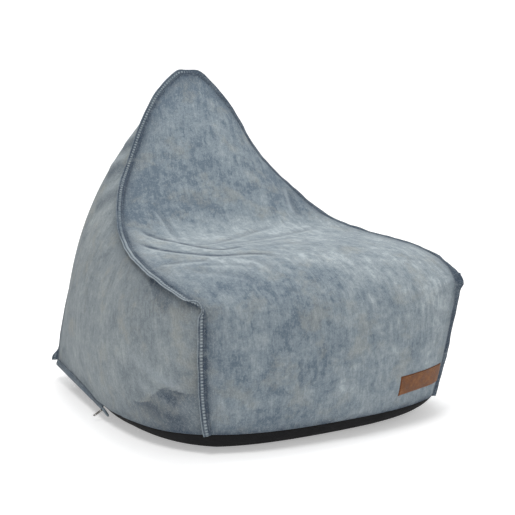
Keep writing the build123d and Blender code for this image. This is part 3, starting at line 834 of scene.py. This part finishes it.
# ---- seam flanges
def fix_facing(obj):
    """Turns the faces outwards if the closed mesh is inside out."""
    mesh = obj.data
    mesh.calc_loop_triangles()
    corners = np.array([triangle.vertices[:] for triangle in mesh.loop_triangles])
    a, b, c = (vectors(mesh.vertices, "co")[corners[:, k]] for k in range(3))
    if (a * np.cross(b, c)).sum() < 0:
        mesh.flip_normals()


def tube(name, sections):
    """A closed mesh through rings of points, given as an array (ring, point, xyz)."""
    obj = mesh_object(name, sections, tube_faces(*sections.shape[:2]))
    fix_facing(obj)
    return obj


def directions(line, out):
    """Unit directions along a line, out of the chair, and across both."""
    along = unit(np.gradient(line, axis=0))
    out = unit(out - (out * along).sum(1)[:, None] * along)
    return along, out, np.cross(along, out)


def flange(name, line, out, lean, seed, worn, gloom):
    """A doubled, turned-out seam allowance. lean, worn and gloom are functions of the place along it:
    the angle at which it lies over, how pale it is and how dark. Also returns its stitches' guides."""
    along, out, across = directions(line, out)
    run_at = lengths_along(line)
    lean = lean(run_at) + 0.11 * ripple(run_at, 0.05, seed) + 0.08 * ripple(run_at, 0.02, seed + 1)
    wide = FLANGE_WIDTH * MM * (1 + 0.05 * ripple(run_at, 0.04, seed + 3))
    near, far = (row / FLANGE_WIDTH for row in ROWS)
    steps = np.array([-0.08, 0.05, near - 0.07, near, near + 0.07, 0.36, 0.5, 0.64, far - 0.07, far,
                      far + 0.07, 0.93, 0.985])
    thick = np.array([0.5, 0.9, 0.95, 0.55, 0.9, 1.08, 1.15, 1.08, 0.9, 0.55, 0.9, 0.85, 0.5])
    spine, turned, place, before = [], [], line, 0.0
    for h in steps:
        angle = (lean * smooth(h, 0.0, 0.42))[:, None]
        place = place + (h - before) * wide[:, None] * (np.cos(angle) * out + np.sin(angle) * across)
        before = h
        spine.append(place)
        turned.append(np.cos(angle) * across - np.sin(angle) * out)
    spine, turned = np.array(spine), np.array(turned)
    beat = np.cos(2 * np.pi * run_at / (7.4 * MM) + 2.2 * ripple(run_at, 0.03, seed + 2))
    ladder = 1 + 0.6 * np.sign(beat) * np.abs(beat) ** 0.7
    height = np.concatenate([steps, [1.0], steps[::-1]])
    between = (height > near + 0.1) & (height < far - 0.1)
    puff = np.where(between[: len(steps), None], ladder, 1.0)
    half = turned * (thick[:, None] * FLANGE_HALF * MM * puff)[..., None]
    tip = spine[-1] + (spine[-1] - spine[-2]) * 0.5
    ring = np.concatenate([spine + half, tip[None], (spine - half)[::-1]])
    obj = tube(name, np.swapaxes(ring, 0, 1))
    # painted shade in the grooves of the two stitch rows, in the valley at the flange's root and between the
    # puffs of its ladder; the tip edge is darker too
    groove = sum(np.exp(-(((height - row) / 0.12) ** 2)) for row in (near, far))
    edge = np.maximum(np.where(height < 0.06, 1.0, 0.0), np.where(height > 0.95, 0.35, 0.0))
    rungs = 0.8 * smooth(-beat, -0.1, 0.7)[:, None] * between[None, :]
    dark = np.maximum(np.maximum(edge, 1.3 * groove)[None, :], rungs) + gloom(run_at)[:, None]
    pale = worn(run_at)[:, None] * np.where(height > 0.4, 1.0, 0.35)[None, :]
    pale = pale + 0.45 * smooth(beat, 0.0, 0.8)[:, None] * between[None, :] * (1 - gloom(run_at))[:, None]
    attribute(obj, "dark", np.clip(dark * (1 - 0.4 * pale), 0, 1))
    attribute(obj, "worn", np.clip(pale * (1 - 0.8 * np.minimum(groove, 1)[None, :]), 0, 1))
    lay_uv(obj, np.repeat(run_at, len(height)), np.tile(height * FLANGE_WIDTH * MM, len(line)))
    return obj, (spine, turned, steps, run_at, along)


def stitches(name, centres, along, out, length, radius):
    """Short rounded stitches, with their ends dipping into the fabric."""
    turns, across, points = 6, np.cross(along, out), []
    places, sizes = (-1.0, -0.8, -0.3, 0.3, 0.8, 1.0), (0.35, 0.85, 1.0, 1.0, 0.85, 0.35)
    for place, size, sink in zip(places, sizes, (-1.4, -0.45, 0.25, 0.25, -0.45, -1.4)):
        for a in np.arange(turns) * 2 * math.pi / turns:
            points.append(centres + along * (place * length / 2)
                          + out * (radius * (sink + size * math.sin(a)))
                          + across * (radius * size * math.cos(a)))
    points = np.stack(points, axis=1)
    count, each = points.shape[:2]
    shape = tube_faces(len(places), turns)
    obj = mesh_object(name, points, [tuple(v + k * each for v in f) for k in range(count) for f in shape])
    fix_facing(obj)
    return obj


def rows_on_flange(spine, turned, steps, run_at, along):
    """Centres and directions of the stitches of both rows, on both faces of a flange."""
    pitch, found = 4.4 * MM, []
    at = (np.arange(int(run_at[-1] / pitch) - 1) + 0.75) * pitch
    for row in ROWS:
        h = row / FLANGE_WIDTH
        k = int(np.searchsorted(steps, h))
        f = (h - steps[k - 1]) / (steps[k] - steps[k - 1])
        fields = (1 - f) * spine[k - 1] + f * spine[k], along, (1 - f) * turned[k - 1] + f * turned[k]
        middle, way, over = (np.stack([np.interp(at, run_at, field[:, q]) for q in range(3)], axis=1)
                             for field in fields)
        way, over = unit(way), unit(over)
        for side in (1, -1):
            found.append((middle + side * over * (FLANGE_HALF * 0.62 * MM), way, side * over))
    return [np.concatenate(x) for x in zip(*found)]


def sewn_flange(prefix, flange_nodes, thread_nodes, *shape):
    """A seam's flange and its topstitching."""
    obj, guides = flange(f"{prefix}_flange", *shape)
    make(obj, DENIM_SEAM, flange_nodes)
    sewing = stitches(f"{prefix}_stitches", *rows_on_flange(*guides), 3.6 * MM, 0.5 * MM)
    return [obj, make(sewing, THREAD, thread_nodes)]


STEP = 1.35 * MM  # between the points of the front ribbon
FRONT_LENGTH, CORNER_LENGTH = 1.17, 0.30  # rounded lengths of its front and corner seams


def front_ribbon():
    """The seat panel's whole seam, from the left base corner over the peak to the right one, and the
    directions in which that panel would run on past it."""
    halves = []
    for side in (LEFT, RIGHT):
        seams = []
        for seam, middle, long in (
            (front, seat_middle, FRONT_LENGTH), (corner, apron_middle, CORNER_LENGTH),
        ):
            t = np.linspace(0, 1, int(long / STEP))
            seams.append(np.stack([seam(t), seam(t) - middle(t)]) * side)
        halves.append(np.concatenate([seams[0], seams[1][:, 1:]], axis=1))
    top = top_edge(np.linspace(0, 1, 38))[1:-1]
    rise = np.tile([0, 0.47, 0.88], (len(top), 1)) * 0.3
    line, chord = np.concatenate([halves[0][:, ::-1], np.stack([top, rise]), halves[1]], axis=1)
    along = unit(np.gradient(line, axis=0))
    chord = unit(chord - (chord * along).sum(1)[:, None] * along)
    far = np.abs(np.arange(len(line)) * STEP - len(line) * STEP / 2)
    arm = smooth(far, 0.62, 0.75) * (1 - smooth(far, 1.12, 1.17))
    line += (1.6 * MM * arm * ripple(far, 0.03, 108))[:, None] * np.array([0, 0.3, 1.0])
    for k in range(70):
        chord[1:-1] = (chord[:-2] + chord[1:-1] + chord[2:]) / 3
        if k < 24:
            line[1:-1] = (line[:-2] + 2 * line[1:-1] + line[2:]) / 4
    return line, chord


ribbon_line, ribbon_out = front_ribbon()
HALF_RUN = lengths_along(ribbon_line)[-1] / 2
CORNER_AT = HALF_RUN - CORNER_LENGTH  # where the front corners are, from the peak


def ribbon_lean(x):
    """It lies in the backrest's plane on the left, drops back on the right, and folds over at the corners."""
    u = np.abs(x - HALF_RUN)
    right = smooth(x - HALF_RUN, -0.02, 0.08) * (1 - smooth(u, CORNER_AT - 0.09, CORNER_AT))
    arm = smooth(u, 0.50, 0.72) * (1 - smooth(u, CORNER_AT - 0.03, CORNER_AT))
    hook = np.exp(-(((u - CORNER_AT + 0.012) / 0.020) ** 2))
    drop = 0.24 * right * smooth(x - HALF_RUN, 0.1, 0.2) + 0.15 * smooth(u, CORNER_AT, CORNER_AT + 0.03)
    return 0.05 + 0.10 * arm + 1.1 * hook - drop


def ribbon_worn(x):
    """It is palest along the left arm."""
    u = np.abs(x - HALF_RUN)
    left = smooth(HALF_RUN - x, 0, 0.1)
    arm = smooth(u, 0.60, 0.74) * (1 - 0.5 * smooth(u, CORNER_AT + 0.01, CORNER_AT + 0.05))
    return (0.90 * arm + 0.06) * (0.15 + 0.85 * left)


def ribbon_gloom(x):
    """It is darker on the right, and painted shade darkens the folds at the corners."""
    right = smooth(x - HALF_RUN, -0.03, 0.02) * (1 + 0.5 * (1 - smooth(x - HALF_RUN, 0.12, 0.22)))
    # painted shade in the folds at the corners
    hook = np.exp(-(((np.abs(x - HALF_RUN) - CORNER_AT) / 0.014) ** 2))
    return 0.55 * right + 0.5 * hook


SEAMS = ["left_front_seam", "right_front_seam", "left_corner_seam", "right_corner_seam", "top_seam"]
front_flange, front_thread = sewn_flange(
    "front", SEAMS, ["left_topstitching", "right_topstitching"], ribbon_line, ribbon_out, ribbon_lean, 100,
    ribbon_worn, ribbon_gloom)

pieces = {}
share = np.linspace(0, 1, 450)
over = (smooth(share, 0, EAR_TURN) * smooth(1 - share, 0, FLANGE_TURN))[:, None]
rear_out = over * np.array(REAR_LAY) + (1 - over) * np.array([0.7, 0.7, 0.1])
for side, half, seed in (("left", LEFT, 160), ("right", RIGHT, 170)):
    pieces[side] = sewn_flange(
        f"{side}_rear", [f"{side}_rear_seam"], (), rear(share) * half, rear_out * half, lambda x: 0 * x, seed,
        lambda x: 0.15 + 0 * x, lambda x: 0.1 + 0 * x)


# ---- label
LABEL_ACROSS, LABEL_DOWN, LABEL_THICK = (0.738, 0.984), (0.688, 0.855), 1.6


def on_cloth(grid, s, t):
    """Points of the apron at shares of its width and height."""
    across = seat_shares(grid.shape[0] - 1, 1)[0]
    x, y = np.interp(s, across, np.arange(len(across))), t * (grid.shape[1] - 1)
    i, j = np.floor(x).astype(int), np.floor(y).astype(int)
    i, j = np.clip(i, 0, grid.shape[0] - 2), np.clip(j, 0, grid.shape[1] - 2)
    f, g = (x - i)[..., None], (y - j)[..., None]
    return ((1 - f) * (1 - g) * grid[i, j] + f * (1 - g) * grid[i + 1, j]
            + (1 - f) * g * grid[i, j + 1] + f * g * grid[i + 1, j + 1])


def label_spots(a, d):
    """Points on the denim under the label and the normals there, for shares of its width and height."""
    apron = FINAL["seat"][0][:, SEAT_DOWN:]
    t = LABEL_DOWN[0] + d * (LABEL_DOWN[1] - LABEL_DOWN[0])
    s = LABEL_ACROSS[0] + a * (LABEL_ACROSS[1] - LABEL_ACROSS[0])
    s = 0.5 + (s - 0.5) * corner(sum(LABEL_DOWN) / 2)[0] / corner(t)[..., 0]
    n = facing(apron)[0]
    for _ in range(8):
        n[1:-1, 1:-1] = (n[:-2, 1:-1] + n[2:, 1:-1] + n[1:-1, :-2] + n[1:-1, 2:]) / 4
    return on_cloth(apron, s, t), unit(on_cloth(n, s, t))


def label_piece():
    """The leather label, with a rounded edge and a groove pressed in by its stitches."""
    a, d = lattice(96, 36)
    spots, n = label_spots(a, d)
    wide = np.linalg.norm(spots[-1, 18] - spots[0, 18])
    high = np.linalg.norm(spots[48, -1] - spots[48, 0])
    x, y = (a - 0.5) * wide, (d - 0.5) * high
    inset = np.minimum(wide / 2 - np.abs(x), high / 2 - np.abs(y)) / MM
    top = 0.35 + LABEL_THICK * smooth(inset, -0.6, 1.3) - 0.35 * np.exp(-(((inset - 2.6) / 0.7) ** 2))
    top = top + 0.12 * noise(spots, 0.011, 91)
    low = spots + n * (0.25 * MM)
    up = spots + n * (top * MM)[..., None]
    rows, columns = a.shape
    points = np.concatenate([up.reshape(-1, 3), low.reshape(-1, 3)])
    faces = quads(rows, columns, False) + quads(rows, columns, True, rows * columns)
    ids = np.arange(rows * columns).reshape(rows, columns)
    rim = np.concatenate([ids[:, 0], ids[-1, 1:], ids[-2::-1, -1], ids[0, -2:0:-1]]).tolist()
    for p, q in zip(rim, rim[1:] + rim[:1]):
        faces.append((q, p, p + rows * columns, q + rows * columns))
    obj = mesh_object("label", points, faces)
    fix_facing(obj)
    edge = 0.8 * np.exp(-np.maximum(inset, 0) / 0.9)
    attribute(obj, "dark", np.concatenate([edge.ravel(), np.ones(rows * columns)]))
    return obj


def label_thread():
    """One row of stitches round the label."""
    found = []
    marks = [(0.024, 0.07), (0.976, 0.07), (0.976, 0.93), (0.024, 0.93), (0.024, 0.07)]
    for (a0, d0), (a1, d1) in zip(marks, marks[1:]):
        ends = label_spots(np.array([a0, a1]), np.array([d0, d1]))[0]
        count = round(np.linalg.norm(ends[1] - ends[0]) / (4.2 * MM))
        share = (np.arange(count) + 0.5) / count
        p, n = label_spots(a0 + share * (a1 - a0), d0 + share * (d1 - d0))
        found.append((p + n * (LABEL_THICK + 0.12) * MM, unit(np.gradient(p, axis=0)), n))
    return stitches("label_stitches", *map(np.concatenate, zip(*found)), 3.0 * MM, 0.36 * MM)


label = make(label_piece(), LEATHER, ["leather_label"])
label_sewing = make(label_thread(), LABEL_THREAD, ["label_stitching"])

# ---- zips
TAPE_THICK, HALF_GAP, COIL_WIDTH, COIL_HEIGHT = 0.7, 0.9, 2.2, 2.0
ZIP_DROP, ZIP_STAND = 15.0, 5.8  # how far the cover zip lies below and outside the base seam
start, end = np.array(STRAIGHT_START, float) * LEFT, np.array(EAR, float) * LEFT
ZIP_LENGTH = float(np.linalg.norm(end - start))
zip_along = (end - start) / ZIP_LENGTH
down = (start + end) / 2 * np.array([0.95, 0.95, 0.4]) - (start + end) / 2
zip_out = unit(np.cross(zip_along, down - (down @ zip_along) * zip_along))
zip_down = np.cross(zip_out, zip_along)
zip_origin = start + ZIP_DROP * zip_down + ZIP_STAND * zip_out
# Each zip's start, its directions along, across and out, and its length.
COVER_ZIP = (zip_origin, zip_along, zip_down, zip_out, ZIP_LENGTH)
LINER_OUT = np.array([0, 0.8, -0.6])
LINER_ZIP = (np.array([-160, 432, 52]) + (3.2 - 2.5 - 20) * LINER_OUT, np.array([1.0, 0, 0]),
             np.cross(LINER_OUT, [1.0, 0, 0]), LINER_OUT, 320.0)


def on_zip(plane, x, y, z):
    """Points given along, across and out of a zip."""
    origin, along, across, out, _ = plane
    x, y, z = np.broadcast_arrays(x, y, z)
    return (origin + x[..., None] * along + y[..., None] * across + z[..., None] * out) * MM


def tape_piece(name, plane, side):
    """One zip tape, with ribs along its edges."""
    x = np.linspace(0, plane[4], 160)[:, None]
    across = np.array([0, 1.5, 3.2, 5.5, 8, 10.2, 10.8, 11.0]) + HALF_GAP
    ribs = np.array([0.7, 0.7, 0.5, 0.5, 0.5, 0.7, 0.7, 0.4])
    y = np.concatenate([across, across[::-1]])
    half = np.concatenate([ribs, -ribs[::-1]]) * TAPE_THICK / 2
    soft = np.clip((y - 4.0) / 7.0, 0, 1)[None, :]
    lift = 0.45 * soft * ripple(x[:, 0] / 1000 + side, 0.04, 95)[:, None]
    grid = on_zip(plane, x + 0 * y, side * y + 0 * x, TAPE_THICK / 2 + half + lift)
    obj = tube(name, grid)
    lay_uv(obj, np.repeat(x[:, 0], len(y)) * MM, np.tile(y, len(x)) * MM)
    return obj


def coil_piece(name, plane, side):
    """One half of a nylon coil: a flattened helix, sewn along the tape."""
    pitch, turns, sides, wire = 1.6, 11, 6, 0.36
    a = np.arange(int(plane[4] / pitch * turns)) * 2 * math.pi / turns
    x = (a / (2 * math.pi)) * pitch
    ry, rz = COIL_WIDTH / 2 - wire, COIL_HEIGHT / 2 - wire
    y = side * (HALF_GAP + COIL_WIDTH / 2) + ry * np.sign(np.cos(a)) * np.abs(np.cos(a)) ** 0.8
    z = TAPE_THICK + COIL_HEIGHT / 2 + rz * np.sin(a)
    centre = on_zip(plane, x, y, z)
    way = unit(np.gradient(centre, axis=0))
    over = unit(np.cross(way, plane[1]))
    up = np.cross(way, over)
    rings = [centre + wire * MM * (math.cos(b) * over + math.sin(b) * up)
             for b in np.arange(sides) * 2 * math.pi / sides]
    return tube(name, np.stack(rings, axis=1))


for prefix, plane in (("zip", COVER_ZIP), ("liner_zip", LINER_ZIP)):
    for which, side in (("upper", -1), ("lower", 1)):
        strip = tape_piece(f"{prefix}_{which}_tape_cloth", plane, side)
        make(strip, TAPE, [f"{prefix}_{which}_tape"])
        teeth = coil_piece(f"{prefix}_{which}_teeth", plane, side)
        make(teeth, NYLON, [f"{prefix}_{which}_coil"])
        pieces.setdefault(prefix, []).extend([strip, teeth])

for node in ("zip_slider", "zip_pull_tab", "zip_front_stop", "zip_rear_stop", "liner_zip_slider",
             "liner_zip_front_stop", "liner_zip_rear_stop"):
    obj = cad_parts[node]
    obj.data.materials.clear()
    obj.data.materials.append(METAL)


def placket_piece():
    """The flap of denim over the cover zip: two layers folded over at its free edge."""
    lean, rung = math.radians(34), 7.5
    x = np.linspace(8, ZIP_LENGTH, 180)
    h = np.array([0, 1.5, 3.5, 6, 9, 12, 13.8, 14.6])
    half = np.array([1.2, 1.2, 0.9, 1.25, 1.25, 1.1, 0.95, 0.6])
    wave = 0.5 * ripple(x / 1000, 0.03, 97)[:, None] * (h / 15)[None, :]
    ladder = 1 + 0.12 * np.cos(2 * np.pi * x / rung)[:, None]
    rings = []
    for sign, order in ((1, slice(None)), (-1, slice(None, None, -1))):
        y = (sign * half * ladder)[:, order] + wave[:, order] * 0.6
        z = h[None, order] + 0 * y
        turned = lean + 0.008 * z
        yy, zz = (y * np.cos(turned) + z * np.sin(turned), -y * np.sin(turned) + z * np.cos(turned))
        rings.append(on_zip(COVER_ZIP, x[:, None] + 0 * y, yy - ZIP_DROP, zz - ZIP_STAND))
    obj = tube("placket", np.concatenate(rings, axis=1))
    height = np.concatenate([h, h[::-1]])
    dark = np.where(height > 12.5, 0.95, np.where(np.abs(height - 3.5) < 1, 0.8, 0.5))
    attribute(obj, "dark", np.tile(dark, len(x)))
    attribute(obj, "worn", np.zeros(len(x) * len(height)))
    lay_uv(obj, np.repeat(x, len(height)) * MM, np.tile(height, len(x)) * MM)
    return obj


def garage_piece():
    """A fold of denim round the front ends of the tapes, open at its rear and pinched at its front."""
    turns = 40
    a = np.arange(turns) * 2 * math.pi / turns
    def loop(x, wide, high, middle):
        y = wide / 2 * np.sign(np.cos(a)) * np.abs(np.cos(a)) ** 0.45
        z = middle + high / 2 * np.sign(np.sin(a)) * np.abs(np.sin(a)) ** 0.6
        bumps = 0.25 * np.cos(5 * a + x)
        return on_zip(COVER_ZIP, x + 0 * a, y, z + bumps)
    sizes = [(-11, 17, 2.2, 1.2), (-10.5, 20, 3.6, 1.4), (-8.5, 23, 5.0, 1.7), (-5, 24.4, 6.2, 1.9),
             (0, 24.8, 6.8, 1.9), (3.6, 24.9, 6.9, 1.9), (4.8, 24.6, 6.6, 1.9), (4.9, 23.8, 5.8, 1.9),
             (4.4, 23.6, 4.6, 1.55), (0.5, 23.4, 4.2, 1.5), (0.2, 20, 3.0, 1.5)]
    obj = tube("garage", np.stack([loop(*s) for s in sizes]))
    dark = np.repeat([0.6, 0.5, 0.3, 0.2, 0.25, 0.4, 0.8, 0.9, 0.9, 0.9, 0.9], turns)
    attribute(obj, "dark", dark)
    attribute(obj, "worn", 0.2 * (dark < 0.3))
    lay_uv(obj, np.repeat([s[0] for s in sizes], turns) * MM, np.tile(a * 8, len(sizes)) * MM)
    return obj


placket = make(placket_piece(), DENIM_SEAM, ["zip_placket"])
garage = make(garage_piece(), DENIM_SEAM, ["zip_garage"])


# ---- liner and beads
def skin(name, pitch, high, voxel, seed, sink):
    """A remeshed copy of the filling's outside, sunk a little, with wrinkles pressed into it."""
    obj = link(bpy.data.objects.new(name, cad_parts["bead_fill"].data.copy()))
    obj.data.materials.clear()
    remesh = obj.modifiers.new("Remesh", "REMESH")
    remesh.mode, remesh.voxel_size = "VOXEL", voxel
    made = bpy.data.meshes.new_from_object(obj.evaluated_get(bpy.context.evaluated_depsgraph_get()))
    obj.modifiers.clear()
    obj.data = made
    v, n = vectors(made.vertices, "co"), vectors(made.vertices, "normal")
    dip = high * MM * (0.5 * (1 + noise(v, pitch, seed)) + 0.25 * (1 + noise(v, pitch / 2.7, seed + 1)))
    v = v - n * (sink * MM + dip * smooth(v[:, 2], 0.01, 0.05))[:, None]
    made.vertices.foreach_set("co", v.ravel())
    made.update()
    made.shade_smooth()
    return obj


fill = make(skin("bead_body", 0.05, 3.0, 0.012, 61, 5.0), BEADS, ["bead_fill"])
liner = make(skin("liner_bag", 0.07, 2.0, 0.010, 65, 0.8), LINER, ["inner_liner"])

# ---- floor, light and camera
scene = bpy.context.scene
AZIMUTH, ELEVATION, DISTANCE, TARGET = -31.286, 7.74, 2.831, (0.043, 0.0, 0.374)  # of the camera
SENSOR, LENS = 36.0, 74.6  # in millimetres


def floor():
    """A pale floor that curves up into a backdrop."""
    front_end, bend_at, bend, top, half_width, sunk, turned = -6.0, 2.0, 1.5, 6.0, 7.0, 0.001, -31.3
    profile = [(front_end, 0.0), (bend_at, 0.0)]
    for a in np.arange(1, 13) * math.pi / 2 / 12:
        profile.append((bend_at + bend * math.sin(a), bend * (1 - math.cos(a))))
    profile.append((bend_at + bend, top))
    turn = math.radians(turned)
    points = [(x * math.cos(turn) - y * math.sin(turn), x * math.sin(turn) + y * math.cos(turn), z - sunk)
              for x in (-half_width, half_width) for y, z in profile]
    n = len(profile)
    obj = mesh_object("floor", points, [(i, n + i, n + i + 1, i + 1) for i in range(n - 1)])
    m = Nodes("floor", Roughness=0.95, Specular_IOR_Level=0.1, Emission_Strength=0.38)
    m.shader.inputs["Emission Color"].default_value = (1, 1, 1, 1)
    tone = m.ramp(m.noise(m.place(), 3.0, 2.0), (0.3, (0.86, 0.86, 0.86)), (0.7, (0.88, 0.88, 0.88)))
    obj.data.materials.append(m.finish(tone))


floor()


def area_light(name, place, aim, size, power):
    """A soft round light, aimed at a point."""
    data = bpy.data.lights.new(name, "AREA")
    data.shape, data.size, data.energy = "DISK", size, power
    obj = link(bpy.data.objects.new(name, data))
    obj.location = place
    obj.rotation_euler = (Vector(aim) - Vector(place)).to_track_quat("-Z", "Y").to_euler()


area_light("key", (-1.5, -1.3, 3.0), (0, 0, 0.35), 1.1, 43)
area_light("fill", (2.6, -1.8, 1.8), (0, 0, 0.4), 2.4, 14)
area_light("top", (0.4, -0.1, 3.2), (0, 0, 0.4), 1.5, 42)

world = bpy.data.worlds.new("studio")
world.use_nodes = True
sky = world.node_tree.nodes["Background"].inputs
sky["Color"].default_value = (1, 1, 1, 1)
sky["Strength"].default_value = 0.40
scene.world = world
scene.view_settings.view_transform = "Standard"

a, e = math.radians(AZIMUTH), math.radians(ELEVATION)
backwards = Vector((math.sin(a) * math.cos(e), -math.cos(a) * math.cos(e), math.sin(e)))
camera = bpy.data.cameras.new("camera")
camera.sensor_width, camera.lens = SENSOR, LENS
camera.dof.use_dof = False
eye = link(bpy.data.objects.new("camera", camera))
eye.location = Vector(TARGET) + backwards * DISTANCE
eye.rotation_euler = (-backwards).to_track_quat("-Z", "Y").to_euler()
scene.camera = eye
